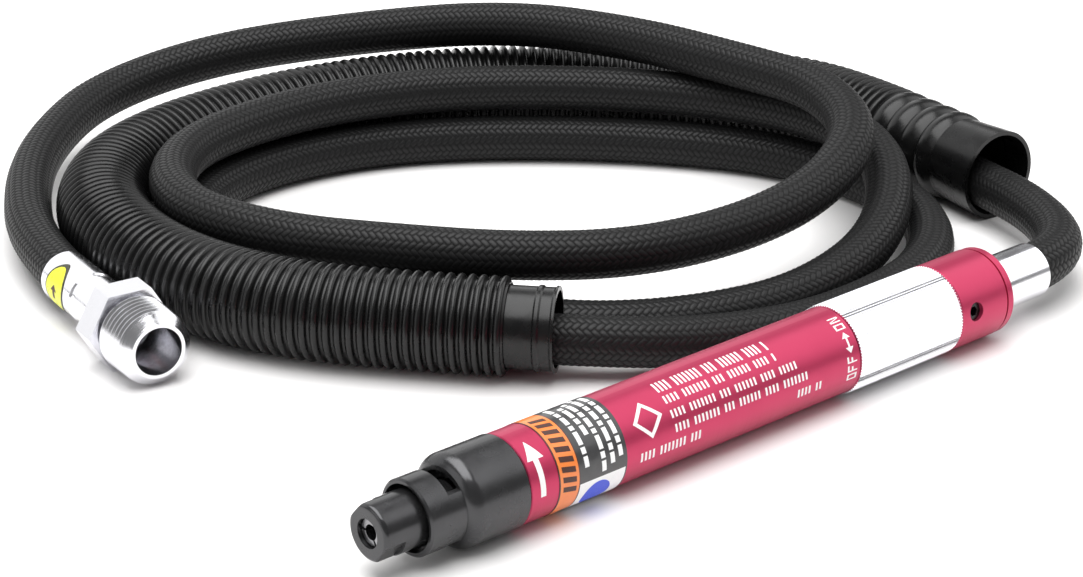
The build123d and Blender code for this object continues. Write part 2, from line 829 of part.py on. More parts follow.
def corner_radii(points, name):
    """Arc of each corner: 0.45 of the shorter run, divided by the tangent of half the turn."""
    radii = []
    for before, corner, after in zip(points, points[1:], points[2:]):
        run_in = Vector(*corner) - Vector(*before)
        run_out = Vector(*after) - Vector(*corner)
        half_turn = math.radians(run_in.get_angle(run_out)) / 2
        radii.append(0.45 * min(run_in.length, run_out.length) / math.tan(half_turn))
    print(name, "radii", [round(radius, 1) for radius in radii])
    return radii


def make_tube(points, radius, bore_radius, name):
    """Tube along straight runs joined by tangent arcs."""
    with BuildPart() as tube:
        with BuildLine() as path:
            FilletPolyline(*points, radius=corner_radii(points, name))
        with BuildSketch(Plane(origin=path.line @ 0, z_dir=path.line % 0)):
            Circle(radius)
            Circle(bore_radius, mode=Mode.SUBTRACT)
        sweep(path=path.line)
    length = path.wire().length
    expected = math.pi * (radius**2 - bore_radius**2) * length
    print(name, "length", round(length, 1), "volume ratio", round(tube.part.volume / expected, 4))
    return tube


def make_air_hose():
    return make_tube(air_hose_route(), AIR_HOSE_RADIUS, AIR_HOSE_BORE_RADIUS, "air_hose")


def make_overhose():
    points = [(x, y, OVERHOSE_HEIGHT) for x, y in OVERHOSE_ROUTE]
    return make_tube(points, OVERHOSE_RADIUS, OVERHOSE_BORE_RADIUS, "exhaust_overhose")


def plane_along(origin, heading):
    """Plane through a level line: local x runs along it, local y points up."""
    return Plane(origin=origin, x_dir=heading, z_dir=Vector(*heading).cross(Vector(0, 0, 1)))


def turned_along(origin, heading, points):
    """Solid of (distance, radius) points turned about a level line of its own."""
    with BuildPart() as piece:
        with BuildSketch(plane_along(origin, heading)):
            with BuildLine():
                Polyline(*points, close=True)
            make_face()
        revolve(axis=Axis(origin, heading))
    return piece


def make_tool_cuff():
    """Cuff that is pushed over the rear cap in use: four rolled ribs, then a flaring mouth."""
    joint = OVERHOSE_ROUTE[0]
    following = OVERHOSE_ROUTE[1]
    origin = (*joint, OVERHOSE_HEIGHT)
    heading = (joint[0] - following[0], joint[1] - following[1], 0)
    length = 36.0
    wall = 1.0
    rib_pitch = 5.7
    rib_count = 4
    ribs_rear = rib_count * rib_pitch
    valley = TOOL_CUFF_RADIUS - 0.8
    with BuildPart() as cuff:
        with BuildSketch(plane_along(origin, heading)):
            with BuildLine():
                for rib in range(rib_count):
                    start = rib * rib_pitch
                    ThreePointArc(
                        (start, valley),
                        (start + rib_pitch / 2, TOOL_CUFF_RADIUS),
                        (start + rib_pitch, valley),
                    )
                Polyline(
                    (ribs_rear, valley),
                    (length, TOOL_CUFF_RADIUS),
                    (length, TOOL_CUFF_RADIUS - wall),
                    (ribs_rear, valley - wall),
                    (0, OVERHOSE_BORE_RADIUS - 0.5),
                    (0, valley),
                )
            make_face()
        revolve(axis=Axis(origin, heading))
    return cuff


def make_outlet_cuff():
    """Plain cuff on the free end, with a bead and a thin lip."""
    joint = OVERHOSE_ROUTE[-1]
    before = OVERHOSE_ROUTE[-2]
    heading = (joint[0] - before[0], joint[1] - before[1], 0)
    length = 10.5
    bead = 5.9
    body = OUTLET_CUFF_RADIUS - 0.35
    outside = [
        (0, body),
        (bead, body),
        (bead + 0.4, OUTLET_CUFF_RADIUS),
        (bead + 1.1, OUTLET_CUFF_RADIUS),
        (bead + 1.5, body),
        (length - 0.9, body),
        (length - 0.5, OUTLET_CUFF_RADIUS),
        (length, OUTLET_CUFF_RADIUS),
    ]
    inside = [(length, body - 0.6), (0, body - 0.6)]
    return turned_along((*joint, OVERHOSE_HEIGHT), heading, outside + inside)


# ---- inlet fitting -----------------------------------------------------------
def make_inlet_ferrule():
    """Bright ferrule crimped on the hose's far end, hardly wider than the hose."""
    hose_end = 12.5
    crimp_front = 14.5
    crimp_rear = 17.0
    crimp_radius = INLET_FERRULE_RADIUS - 0.35
    return turned_along(
        FITTING_START,
        FITTING_HEADING,
        [
            (0, AIR_HOSE_RADIUS + 0.02),
            (0, INLET_FERRULE_RADIUS - 0.2),
            (0.2, INLET_FERRULE_RADIUS),
            (crimp_front, INLET_FERRULE_RADIUS),
            (crimp_front + 0.4, crimp_radius),
            (crimp_rear - 0.4, crimp_radius),
            (crimp_rear, INLET_FERRULE_RADIUS),
            (INLET_FERRULE_LENGTH, INLET_FERRULE_RADIUS),
            (INLET_FERRULE_LENGTH, INLET_STEM_RADIUS + FIT),
            (hose_end, INLET_STEM_RADIUS + FIT),
            (hose_end, AIR_HOSE_RADIUS + 0.02),
        ],
    )


def make_inlet_fitting():
    """Hose stem, hex and tapered pipe thread in one piece."""
    hex_front = INLET_FERRULE_LENGTH + 1.5
    hex_rear = hex_front + 7.0
    thread_start = hex_rear + 1.0
    thread_depth = 0.95
    nose = 1.7
    collar_radius = 6.4
    points = [
        (1.5, 2.2),
        (1.5, INLET_STEM_RADIUS),
        (INLET_FERRULE_LENGTH + 0.1, INLET_STEM_RADIUS),
        (INLET_FERRULE_LENGTH + 0.1, collar_radius),
        (thread_start, collar_radius),
    ]
    turns = int((FITTING_LENGTH - thread_start - nose) / THREAD_PITCH)
    for turn in range(turns):
        front = thread_start + turn * THREAD_PITCH
        crest = THREAD_MOUTH_RADIUS + THREAD_TAPER * (FITTING_LENGTH - front)
        low = crest - thread_depth
        points += [
            (front + 0.15 * THREAD_PITCH, low),
            (front + 0.6 * THREAD_PITCH, crest),
            (front + 0.68 * THREAD_PITCH, crest),
        ]
    points += [
        (FITTING_LENGTH - nose, THREAD_MOUTH_RADIUS - thread_depth),
        (FITTING_LENGTH - nose, THREAD_MOUTH_RADIUS - 0.1),
        (FITTING_LENGTH - 0.3, THREAD_NOSE_RADIUS + 0.1),
        (FITTING_LENGTH, THREAD_NOSE_RADIUS - 0.2),
        (FITTING_LENGTH, INLET_BORE_RADIUS),
        (hex_rear - 2.0, INLET_BORE_RADIUS),
        (hex_front, 2.2),
    ]
    fitting = turned_along(FITTING_START, FITTING_HEADING, points)
    heading = Vector(*FITTING_HEADING)
    with BuildPart() as whole:
        add(fitting.part)
        hex_plane = Plane(
            origin=Vector(*FITTING_START) + heading * hex_front,
            x_dir=(0, 0, 1),
            z_dir=heading,
        )
        with BuildSketch(hex_plane):
            RegularPolygon(FITTING_HEX / 2, 6, major_radius=False, rotation=30)
            Circle(6.0, mode=Mode.SUBTRACT)
        extrude(amount=hex_rear - hex_front)
    return whole


def make_flow_tag():
    """Oval sticker on the inlet ferrule, a thin skin that follows its curve."""
    middle_distance = 7.0
    thickness = 0.12
    heading = Vector(*FITTING_HEADING)
    origin = Vector(*FITTING_START)
    face_out = Vector(heading.Y, -heading.X, 0.1)
    shell_inner = INLET_FERRULE_RADIUS + 0.01
    with BuildPart() as tag:
        with BuildSketch(Plane(origin=origin, x_dir=(0, 0, 1), z_dir=heading)):
            Circle(shell_inner + thickness)
            Circle(shell_inner, mode=Mode.SUBTRACT)
        extrude(amount=12.5)
        oval_plane = Plane(origin=origin + heading * middle_distance, x_dir=heading, z_dir=face_out)
        with BuildSketch(oval_plane):
            Ellipse(4.3, 5.5)
        extrude(amount=INLET_FERRULE_RADIUS * 2, mode=Mode.INTERSECT)
    return tag


# ---- build -------------------------------------------------------------------
front_middle = FRONT_BEARING + FRONT_BEARING_WIDTH / 2
rear_middle = REAR_BEARING + REAR_BEARING_WIDTH / 2

save(make_collet_nut(), "collet_nut")
save(make_collet(), "collet")
save(make_collet_body(), "collet_body")
save(make_rotor(), "rotor")
save(make_rotor_blades(), "rotor_blades")
save(
    make_race(FRONT_BEARING, FRONT_BEARING_WIDTH, FRONT_SHAFT_RADIUS + 0.01, 4.4, inner=True, **FRONT_RACE),
    "front_bearing_inner_race",
)
save(
    make_race(FRONT_BEARING, FRONT_BEARING_WIDTH, 6.1, STACK_RADIUS, inner=False, **FRONT_RACE),
    "front_bearing_outer_race",
)
save(make_balls(front_middle, count=FRONT_BALL_COUNT, **FRONT_RACE), "front_bearing_balls")
save(make_cage(front_middle, count=FRONT_BALL_COUNT, thickness=1.1, **FRONT_RACE), "front_bearing_cage")
save(
    make_race(REAR_BEARING, REAR_BEARING_WIDTH, REAR_SHAFT_RADIUS + 0.01, 3.8, inner=True, **REAR_RACE),
    "rear_bearing_inner_race",
)
save(
    make_race(REAR_BEARING, REAR_BEARING_WIDTH, 5.2, 6.5, inner=False, **REAR_RACE),
    "rear_bearing_outer_race",
)
save(make_balls(rear_middle, count=REAR_BALL_COUNT, **REAR_RACE), "rear_bearing_balls")
save(make_cage(rear_middle, count=REAR_BALL_COUNT, thickness=0.9, **REAR_RACE), "rear_bearing_cage")
save(sleeve(22.4, FRONT_BEARING - 0.05, 4.7, 7.5), "front_dust_washer")
save(make_front_plate(), "front_end_plate")
save(make_liner(), "cylinder_liner")
save(make_dowel(), "liner_dowel")
save(make_rear_plate(), "rear_end_plate")
save(make_rotor_clip(), "rotor_clip")
save(make_spring_washer(), "spring_washer")
save(make_nose_cap(), "nose_cap")
save(make_housing(), "motor_housing")
save(make_label(), "wrap_label")
save(make_valve_body(), "valve_body")
save(make_o_rings(), "valve_o_rings")
save(make_throttle_ring(), "throttle_ring")
save(make_detent_ball(), "detent_ball")
save(make_detent_spring(), "detent_spring")
save(make_stop_pin(), "stop_pin")
save(make_rear_cap(), "rear_cap")
save(make_set_screw(), "cap_set_screw")
save(make_muffler_ring(), "muffler_ring")
save(make_hose_stem(), "hose_stem")
save(make_hose_ferrule(), "hose_ferrule")
save(make_air_hose(), "air_hose")
save(make_overhose(), "exhaust_overhose")
save(make_tool_cuff(), "overhose_tool_cuff")
save(make_outlet_cuff(), "overhose_outlet_cuff")
save(make_inlet_ferrule(), "inlet_ferrule")
save(make_inlet_fitting(), "inlet_fitting")
save(make_flow_tag(), "flow_tag")
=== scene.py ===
import math

import bmesh
import bpy
import numpy as np
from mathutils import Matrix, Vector


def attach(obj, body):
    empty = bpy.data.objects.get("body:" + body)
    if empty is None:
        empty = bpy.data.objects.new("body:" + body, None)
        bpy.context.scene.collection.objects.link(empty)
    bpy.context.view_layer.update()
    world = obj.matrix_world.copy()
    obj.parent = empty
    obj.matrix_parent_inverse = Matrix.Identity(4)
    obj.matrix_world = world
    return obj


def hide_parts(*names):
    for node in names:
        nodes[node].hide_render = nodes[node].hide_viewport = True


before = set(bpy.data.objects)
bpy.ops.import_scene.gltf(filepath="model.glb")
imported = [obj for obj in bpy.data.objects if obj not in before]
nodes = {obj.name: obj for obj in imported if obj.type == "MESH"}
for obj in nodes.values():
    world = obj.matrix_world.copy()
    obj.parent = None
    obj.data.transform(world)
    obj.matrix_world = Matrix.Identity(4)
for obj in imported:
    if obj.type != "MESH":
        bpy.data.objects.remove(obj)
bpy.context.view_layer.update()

# ---- sizes, in metres ----------------------------------------------------------
MM = 0.001
TOOL_LENGTH = 188.3 * MM
AXIS_HEIGHT = 9.85 * MM
HOUSING_RADIUS = 9.5 * MM
LABEL_RADIUS = 9.59 * MM  # outside of the label's film
TAG_RADIUS = 6.08 * MM  # outside of the oval tag
TAG_PLACE = 7.0  # mm from the start of the fitting to the middle of the tag
TAG_LENGTH = 8.6 * MM
TAG_HEIGHT = 11.0 * MM
BAND_FRONT = 39.5  # mm from the nut's face to the label's orange band
BAND_REAR = 44.9
LABEL_REAR = 56.8
AIR_HOSE_RADIUS = 5.6 * MM
OVERHOSE_RADIUS = 10.9 * MM
OVERHOSE_BORE = 9.3 * MM
BRAID_PITCH = 1.65 * MM  # one float of the braid, along the hose
BRAID_STRANDS = 20  # strands each way round the hose
BRAID_RELIEF = 0.13 * MM
RIB_PITCH = 2.4 * MM
RIB_DEPTH = 1.15 * MM
FILM = 0.03 * MM  # thickness of a print
FILM_STEP = 0.7 * MM  # prints bend round the tool in steps of this length

# A cylinder that prints are wrapped on: a point of its axis, its heading, and where 90 degrees is.
TOOL_AXIS = (Vector((-TOOL_LENGTH / 2, 0, AXIS_HEIGHT)), Vector((1, 0, 0)), Vector((0, 0, 1)))
FITTING_HEADING = Vector((-0.16, -0.987, 0)).normalized()
FITTING_AXIS = (Vector((-67.6, 141.4, 8.73)) * MM, FITTING_HEADING, Vector((0, 0, 1)))
TAG_OUTWARD = Vector((FITTING_HEADING.y, -FITTING_HEADING.x, 0.1)).normalized()


def metres(points):
    return [Vector(point) * MM for point in points]


# ---- hose routes, millimetres, as in the CAD ------------------------------------
HOSE_START_X = 181.0 - TOOL_LENGTH / MM / 2
INNER_HOSE_HEIGHT = 8.6
OVERHOSE_ROUTE = [
    (134, 77),
    (135.5, 94),
    (132.5, 112),
    (122, 130.5),
    (103, 150.5),
    (76, 171),
    (41, 186.5),
    (3, 189.5),
    (-25, 182.5),
    (-42.5, 166),
    (-51.3, 142),
    (-52.5, 116),
    (-45, 91.5),
    (-30.5, 70.5),
    (-14.5, 51.7),
]
TOOL_END_ROUTE = [
    (HOSE_START_X, 0, AXIS_HEIGHT / MM),
    (100.4, 0, AXIS_HEIGHT / MM),
    (111.5, 5.4, 10),
    (118.8, 15.8, 10),
    (125.2, 29.5, 9.2),
    (128.8, 45, INNER_HOSE_HEIGHT),
    (132.8, 67, INNER_HOSE_HEIGHT),
]
LOWER_COIL_ROUTE = [
    (-2, 37, 8.6),
    (16, 26, 6.8),
    (39, 18.5, 5.6),
    (62, 17.5, 5.6),
    (84, 22, 5.6),
    (101, 34.5, 5.6),
    (112, 52.5, 5.6),
    (115, 77, 5.6),
    (109.5, 100, 5.6),
    (91, 127, 5.6),
    (64, 153, 5.6),
    (38, 168.5, 5.6),
    (10, 173, 5.6),
    (-13, 167, 5.6),
    (-26.5, 152, 5.6),
    (-30, 130, 5.6),
    (-25, 103, 5.6),
    (-10.5, 75.5, 5.6),
]
UPPER_COIL_ROUTE = [
    (3, 51, 5.6),
    (26, 35.5, 5.6),
    (53, 28.5, 6.3),
    (82, 33.5, 10),
    (104, 50.5, 15.3),
    (115.5, 74, 17.5),
    (111.5, 101, 17.5),
    (94, 130, 17.5),
    (64, 158, 17.6),
    (36, 171, 17.6),
    (10, 174, 17.5),
    (-14, 169.5, 17.5),
    (-31, 154, 17.5),
    (-37, 133, 17.5),
    (-29.5, 109, 17.5),
    (-15, 88.5, 17.5),
    (1, 69, 17.3),
    (22, 52.5, 17.3),
    (49.5, 45.5, 18),
    (75.5, 46.5, 20.5),
    (97.5, 55.5, 26),
    (107.5, 78, 28.6),
    (104.5, 101.5, 28.6),
    (99, 134, 28.7),
    (83, 166, 28.8),
    (58, 199, 22.5),
    (30, 221, 17.5),
    (-1, 226, 13),
    (-26, 212, 10.8),
    (-46, 191.5, 9.4),
    (-64.7, 159.2, 8.73),
    (-69.5, 129.6, 8.73),
]
OVERHOSE_PATH = metres([(x, y, OVERHOSE_RADIUS / MM) for x, y in OVERHOSE_ROUTE])
INSIDE_ROUTE = [(x, y, INNER_HOSE_HEIGHT) for x, y in OVERHOSE_ROUTE[1:-1]]
AIR_HOSE_PATH = metres(TOOL_END_ROUTE + INSIDE_ROUTE + LOWER_COIL_ROUTE + UPPER_COIL_ROUTE)


# ---- camera ------------------------------------------------------------------------
def make_camera():
    camera = bpy.data.objects.new("camera", bpy.data.cameras.new("camera"))
    camera.data.lens = 103.24
    camera.data.sensor_width = 36
    camera.data.clip_start = 0.01
    camera.location = (-0.4081, -0.4053, 0.2831)
    camera.rotation_euler = (math.radians(66.413), 0, math.radians(-41.391))
    bpy.context.scene.collection.objects.link(camera)
    bpy.context.scene.camera = camera


make_camera()


# ---- node helpers -----------------------------------------------------------------
class Shader:
    """A material's node tree with short ways to add nodes."""

    def __init__(self, name):
        self.material = bpy.data.materials.new(name)
        self.material.use_nodes = True
        self.tree = self.material.node_tree
        self.surface = self.tree.nodes["Principled BSDF"]

    def set(self, socket, value):
        """Gives a socket of the surface a constant or joins an output to it."""
        self.plug(value, self.surface.inputs[socket])

    def node(self, kind, **settings):
        made = self.tree.nodes.new(kind)
        for name, value in settings.items():
            setattr(made, name, value)
        return made

    def plug(self, value, socket):
        """Joins an output to a socket, or sets the socket to a constant."""
        if isinstance(value, (int, float, tuple)):
            socket.default_value = value
        else:
            self.tree.links.new(value, socket)

    def math(self, operation, a, b=0.0):
        made = self.node("ShaderNodeMath", operation=operation)
        self.plug(a, made.inputs[0])
        self.plug(b, made.inputs[1])
        return made.outputs[0]

    def spread(self, value, to_low, to_high, low=0.3, high=0.7):
        """Maps a value, usually a noise, to another range, held at both ends."""
        made = self.node("ShaderNodeMapRange")
        for number, socket in zip((value, low, high, to_low, to_high), made.inputs):
            self.plug(number, socket)
        return made.outputs[0]

    def coordinates(self):
        return self.node("ShaderNodeTexCoord").outputs["Object"]

    def parts_of(self, vector):
        made = self.node("ShaderNodeSeparateXYZ")
        self.plug(vector, made.inputs[0])
        return made.outputs

    def along(self, origin, direction):
        """Distance in metres from a point, measured along a direction."""
        moved = self.node("ShaderNodeVectorMath", operation="SUBTRACT")
        self.plug(self.coordinates(), moved.inputs[0])
        self.plug(tuple(origin), moved.inputs[1])
        made = self.node("ShaderNodeVectorMath", operation="DOT_PRODUCT")
        self.plug(moved.outputs[0], made.inputs[0])
        self.plug(tuple(direction), made.inputs[1])
        return made.outputs["Value"]

    def noise(self, scale, detail=3.0, stretch=(1, 1, 1)):
        mapping = self.node("ShaderNodeMapping")
        self.plug(self.coordinates(), mapping.inputs["Vector"])
        mapping.inputs["Scale"].default_value = stretch
        made = self.node("ShaderNodeTexNoise")
        self.plug(mapping.outputs[0], made.inputs["Vector"])
        made.inputs["Scale"].default_value = scale
        made.inputs["Detail"].default_value = detail
        return made.outputs["Fac"]

    def mix(self, share, first, second):
        made = self.node("ShaderNodeMix", data_type="RGBA")
        self.plug(share, made.inputs[0])
        self.plug(first, made.inputs[6])
        self.plug(second, made.inputs[7])
        return made.outputs[2]

    def bump(self, height, strength, distance):
        made = self.node("ShaderNodeBump")
        made.inputs["Strength"].default_value = strength
        made.inputs["Distance"].default_value = distance
        self.plug(height, made.inputs["Height"])
        self.set("Normal", made.outputs[0])


def rgb(red, green, blue):
    return (red, green, blue, 1.0)


def grey(tone):
    return rgb(tone, tone, tone * 1.04)


# ---- materials ------------------------------------------------------------------------
TURNED = (6, 0.05, 0.05)  # stretch that turns a noise into fine lines round the tool
FITTING_TURNED = (0.05, 6, 0.05)  # the same round the inlet fitting


def satin_black(name, tone):
    """Black oxide, satin, with faint turning lines."""
    s = Shader(name)
    s.set("Metallic", 0.8)
    s.set("Base Color", s.mix(s.noise(140, 4), grey(tone * 0.8), grey(tone * 1.2)))
    s.set("Roughness", s.spread(s.noise(260, 4), 0.2, 0.3))
    s.bump(s.noise(900, 2, TURNED), 0.04, 0.05 * MM)
    return s.material


def red_anodised():
    """Satin anodised aluminium with faint turning lines."""
    s = Shader("red_anodised")
    s.set("Metallic", 0.6)
    s.set("Base Color", s.mix(s.noise(60), rgb(0.47, 0.032, 0.095), rgb(0.52, 0.042, 0.112)))
    turning = s.noise(900, 2, TURNED)
    s.set("Roughness", s.spread(turning, 0.3, 0.4))
    s.bump(turning, 0.05, 0.05 * MM)
    return s.material


def bright_plate():
    """Bright plating, faintly uneven."""
    s = Shader("bright_plate")
    s.set("Metallic", 1.0)
    s.set("Base Color", s.mix(s.noise(80, 4), grey(0.87), grey(0.94)))
    s.set("Roughness", s.spread(s.noise(300, 3), 0.14, 0.24))
    s.bump(s.noise(2200, 2), 0.03, 0.1 * MM)
    return s.material


def machined_steel(name, tone, rough, stretch=TURNED):
    """Turned steel with fine lines round its axis."""
    s = Shader(name)
    s.set("Metallic", 1.0)
    lines = s.noise(1200, 2, stretch)
    s.set("Base Color", s.mix(lines, grey(tone * 0.85), grey(tone)))
    s.set("Roughness", s.spread(lines, rough - 0.06, rough + 0.06))
    s.bump(lines, 0.08, 0.05 * MM)
    return s.material


def braid_cover():
    """Black woven cover: two families of strands, each over two and under two."""
    s = Shader("braid_cover")
    s.set("Specular IOR Level", 0.25)
    along, across, _ = s.parts_of(s.node("ShaderNodeUVMap", uv_map="braid").outputs[0])
    first = s.math("ADD", along, across)
    second = s.math("SUBTRACT", along, across)
    first_part = s.math("FRACT", first)
    second_part = s.math("FRACT", second)
    steps = s.math("SUBTRACT", s.math("FLOOR", first), s.math("FLOOR", second))
    column = s.math("FLOORED_MODULO", steps, 4)

    def float_height(width_part, second_half, length_part):
        """Height of a float: round across, and tapered towards both ends."""
        side = s.math("SINE", s.math("MULTIPLY", width_part, math.pi))
        reach = s.math("MULTIPLY", s.math("ADD", second_half, length_part), math.pi / 2)
        end = s.math("MAXIMUM", s.math("SINE", reach), 0.0)
        return s.math("POWER", s.math("MULTIPLY", side, end), 0.6)

    first_height = float_height(first_part, s.math("LESS_THAN", column, 0.5), second_part)
    second_height = float_height(second_part, s.math("GREATER_THAN", column, 2.5), first_part)
    chosen = s.node("ShaderNodeMix", data_type="FLOAT")
    s.plug(s.math("LESS_THAN", column, 1.5), chosen.inputs[0])
    s.plug(second_height, chosen.inputs[2])
    s.plug(first_height, chosen.inputs[3])
    height = chosen.outputs[0]
    s.bump(height, 0.7, 0.2 * MM)
    # Base colour is darker in the low parts between the floats and lighter on their crests: painted shade in
    # the hollows of the braid.
    s.set("Base Color", s.mix(height, grey(0.002), grey(0.009)))
    s.set("Roughness", s.spread(height, 0.75, 0.42))
    return s.material


def hose_plastic():
    """Semi-gloss moulded black plastic."""
    s = Shader("hose_plastic")
    s.set("Specular IOR Level", 0.35)
    s.set("Base Color", s.mix(s.noise(90, 4), grey(0.002), grey(0.006)))
    s.set("Roughness", s.spread(s.noise(260, 4), 0.22, 0.34))
    s.bump(s.noise(1500), 0.05, 0.2 * MM)
    return s.material


def ink(name, color, rough=0.5):
    """Flat printing ink with a fine grain."""
    s = Shader(name)
    grain = s.noise(2500, 2)
    lighter = rgb(*[min(1.0, value * 1.12) for value in color])
    s.set("Base Color", s.mix(grain, rgb(*color), lighter))
    s.set("Roughness", s.spread(grain, rough - 0.07, rough + 0.07))
    return s.material


def label_film():
    """Printed film: an orange band between two dark lines, and a dark grey field behind it."""
    band_middle = (BAND_FRONT + BAND_REAR) / 2 * MM
    band_half = (BAND_REAR - BAND_FRONT) / 2 * MM
    line_width = 0.3 * MM
    s = Shader("label_film")
    from_middle = s.math("SUBTRACT", s.along(TOOL_AXIS[0], TOOL_AXIS[1]), band_middle)
    grain = s.noise(900)
    orange = s.mix(grain, rgb(0.80, 0.19, 0.03), rgb(0.90, 0.25, 0.045))
    field = s.mix(grain, grey(0.028), grey(0.05))
    outside = s.math("GREATER_THAN", s.math("ABSOLUTE", from_middle), band_half - line_width)
    behind = s.math("GREATER_THAN", from_middle, band_half)
    s.set("Base Color", s.mix(behind, s.mix(outside, orange, rgb(0.06, 0.02, 0.012)), field))
    s.set("Roughness", s.spread(grain, 0.3, 0.4))
    s.set("Coat Weight", 0.3)
    return s.material


def tag_film():
    """Yellow oval with a dark rim."""
    rim = 0.82  # square of the share of the oval where its rim begins
    s = Shader("tag_film")
    middle = FITTING_AXIS[0] + FITTING_HEADING * TAG_PLACE * MM
    length_share = s.math("DIVIDE", s.along(middle, FITTING_HEADING), TAG_LENGTH / 2)
    height_share = s.math("DIVIDE", s.along(middle, FITTING_HEADING.cross(TAG_OUTWARD)), TAG_HEIGHT / 2)
    length_square = s.math("MULTIPLY", length_share, length_share)
    height_square = s.math("MULTIPLY", height_share, height_share)
    from_middle = s.math("ADD", length_square, height_square)
    grain = s.noise(900)
    yellow = s.mix(grain, rgb(0.72, 0.74, 0.015), rgb(0.84, 0.87, 0.03))
    s.set("Base Color", s.mix(s.math("GREATER_THAN", from_middle, rim), yellow, rgb(0.03, 0.03, 0.01)))
    s.set("Roughness", s.spread(grain, 0.25, 0.35))
    return s.material


def dull(name, color, rough):
    """Plain inner material with a little unevenness."""
    s = Shader(name)
    clouds = s.noise(400)
    s.set("Base Color", s.mix(clouds, rgb(*[0.75 * value for value in color]), rgb(*color)))
    s.set("Roughness", s.spread(clouds, rough - 0.08, rough + 0.08))
    s.bump(s.noise(3000, 2), 0.1, 0.1 * MM)
    return s.material


# ---- hoses --------------------------------------------------------------------------
def smooth_line(name, points):
    """Points of a smooth NURBS line through the route, with no bevel."""
    curve = bpy.data.curves.new(name, "CURVE")
    curve.dimensions = "3D"
    spline = curve.splines.new("NURBS")
    spline.points.add(len(points) - 1)
    for control, point in zip(spline.points, points):
        control.co = (*point, 1)
    spline.order_u = 3
    spline.use_endpoint_u = True
    spline.resolution_u = 40
    holder = bpy.data.objects.new(name, curve)
    line = bpy.data.meshes.new_from_object(holder)
    found = np.empty(len(line.vertices) * 3)
    line.vertices.foreach_get("co", found)
    bpy.data.objects.remove(holder)
    bpy.data.meshes.remove(line)
    bpy.data.curves.remove(curve)
    return found.reshape(-1, 3)


def line_length(points):
    return float(np.linalg.norm(np.diff(points, axis=0), axis=1).sum())


def stations(points, distances):
    """Centres and two cross directions at distances along a line, with no twist."""
    steps = np.linalg.norm(np.diff(points, axis=0), axis=1)
    marks = np.concatenate([[0], np.cumsum(steps)])
    centres = np.stack([np.interp(distances, marks, points[:, k]) for k in range(3)], axis=1)
    tangents = np.gradient(centres, axis=0)
    tangents /= np.linalg.norm(tangents, axis=1, keepdims=True)
    sides = np.empty_like(centres)
    side = np.cross(tangents[0], (0, 0, 1.0))
    for k, tangent in enumerate(tangents):
        side = side - tangent * side.dot(tangent)
        side /= np.linalg.norm(side)
        sides[k] = side
    return centres, sides, np.cross(sides, tangents)


def rings_round(centres, sides, ups, turn, radius):
    """Rings of points: turn holds the angles round a ring, radius one value a ring or a point."""
    outward = np.cos(turn)[None, :, None] * sides[:, None] + np.sin(turn)[None, :, None] * ups[:, None]
    return centres[:, None] + radius[..., None] * outward


def quads_between(index):
    """Four-cornered faces between neighbouring rings of vertex numbers."""
    following = np.roll(index, -1, axis=1)
    return np.stack([index[:-1], index[1:], following[1:], following[:-1]], axis=-1).reshape(-1, 4)


def smooth_mesh(name, vertices, faces, flat_count=0):
    """Smooth-shaded mesh whose last few faces stay flat."""
    mesh = bpy.data.meshes.new(name)
    mesh.from_pydata(vertices.reshape(-1, 3).tolist(), [], faces)
    smooth = np.arange(len(faces)) < len(faces) - flat_count
    mesh.polygons.foreach_set("use_smooth", smooth)
    mesh.update()
    return mesh


def add_piece(name, mesh, material, body="tool"):
    piece = bpy.data.objects.new(name, mesh)
    bpy.context.scene.collection.objects.link(piece)
    mesh.materials.append(material)
    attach(piece, body)
    return piece


def braid_radius(along, across):
    """Hose radius at braid coordinates: high at the middle of each float, low between them."""
    first = along + across
    second = along - across
    column = (np.floor(first).astype(int) - np.floor(second).astype(int)) % 4
    over = column < 2
    second_half = np.where(over, column < 1, column > 2)
    width_part = np.where(over, first % 1, second % 1)
    length_part = np.where(over, second % 1, first % 1)
    side = np.sin(np.pi * width_part)
    end = np.sin(np.pi / 2 * (second_half + length_part))
    return AIR_HOSE_RADIUS - BRAID_RELIEF * (1 - np.sqrt(np.clip(side * end, 0, 1)))


def make_air_hose(material):
    line = smooth_line("air_hose_line", AIR_HOSE_PATH)
    length = line_length(line)
    rings_per_float = 2
    around = 2 * BRAID_STRANDS
    count = int(length / BRAID_PITCH * rings_per_float)
    along = 0.25 + np.arange(count) / rings_per_float
    across = 0.25 + np.arange(around) * BRAID_STRANDS / around
    distances = (along - along[0]) * BRAID_PITCH
    distances[-1] = length
    turn = 2 * np.pi * across / BRAID_STRANDS
    radius = braid_radius(along[:, None], across[None, :])
    rings = rings_round(*stations(line, distances), turn, radius)
    index = np.arange(count * around).reshape(count, around)
    quads = quads_between(index)
    ends = [index[0].tolist(), index[-1][::-1].tolist()]
    mesh = smooth_mesh("air_hose_braid", rings, quads.tolist() + ends, len(ends))

    # Braid coordinates: u counts floats along the hose and v counts strands round it.
    layer = mesh.uv_layers.new(name="braid")
    first = np.stack(np.broadcast_arrays(along[:-1, None], across[None, :]), axis=-1)
    second = np.stack(np.broadcast_arrays(along[1:, None], across[None, :]), axis=-1)
    next_strand = (0, across[1] - across[0])
    corners = np.stack([first, second, second + next_strand, first + next_strand], axis=2)
    end_corners = np.zeros((2 * around, 2))
    layer.data.foreach_set("uv", np.concatenate([corners.reshape(-1, 2), end_corners]).ravel())
    return add_piece("air_hose_braid", mesh, material), line, length


def rib_profile():
    """One rib of the exhaust hose: (share of the pitch, depth below the crest)."""
    half_width = 0.34
    groove_edge = 0.03
    groove_depth = RIB_DEPTH * 1.05
    crest = []
    for angle in range(0, 181, 30):
        across = 0.5 - half_width * math.cos(math.radians(angle))
        crest.append((across, RIB_DEPTH * (1 - math.sin(math.radians(angle)))))
    return [(groove_edge, groove_depth)] + crest + [(1 - groove_edge, groove_depth)]


